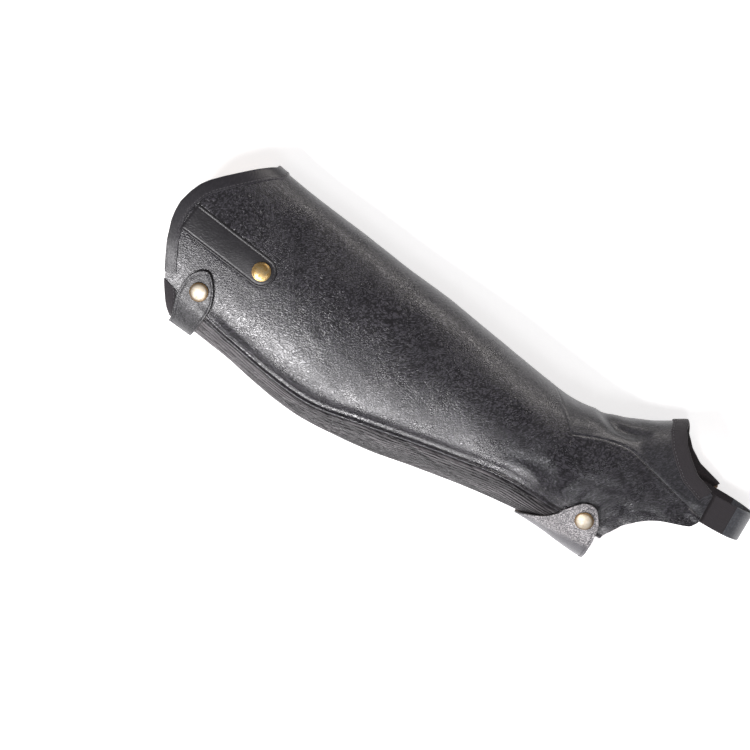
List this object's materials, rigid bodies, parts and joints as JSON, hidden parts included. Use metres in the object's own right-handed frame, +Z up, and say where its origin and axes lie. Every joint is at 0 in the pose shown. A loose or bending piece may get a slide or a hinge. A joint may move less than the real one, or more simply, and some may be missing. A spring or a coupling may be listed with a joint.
{
  "type": "half chap",
  "caption": "Zipped leather half chap for the lower right leg: shaped hollow tube with raised knee edge, stretch panel, snap tabs, ankle gusset and stirrup strap.",
  "frame": {"origin": "centre of the bounding box at the plane that the inner side rests on", "axes": "+X down the leg from knee to foot, +Y to the shin, -Y to the calf and the zip, +Z up from the inner side to the outer side"},
  "size_m": [0.5231, 0.1677, 0.0741],
  "materials": {
    "leather": "black grained full leather, soft sheen",
    "stretch_leather": "black stretch leather, gathered in fine lengthwise ribs",
    "smooth_leather": "black smooth leather, satin",
    "elastic": "dark ribbed elastic webbing, matt",
    "brass": "antique brass, polished dome",
    "zip_tape": "black woven zip tape",
    "zip_teeth": "black moulded zip teeth",
    "zip_metal": "black enamelled die-cast slider"
  },
  "bodies": {
    "root": {"main_panel": "leather", "ankle_gusset": "leather", "stretch_panel": "stretch_leather", "top_rim": "smooth_leather", "stretch_binding": "elastic", "instep_binding": "elastic", "spur_strip": "smooth_leather", "strip_cap": "brass", "knee_tab": "smooth_leather", "tab_elastic": "elastic", "elastic_patch": "leather", "tab_cap": "brass", "tab_stud": "brass", "heel_flap": "leather", "flap_cap": "brass", "flap_stud": "brass", "zip_tape_inner": "zip_tape", "zip_tape_outer": "zip_tape", "zip_chain": "zip_teeth", "zip_slider": "zip_metal", "zip_pull": "zip_metal", "stirrup_elastic_outer": "elastic", "stirrup_elastic_inner": "elastic", "stirrup_leather": "smooth_leather"}
  },
  "joints": []
}
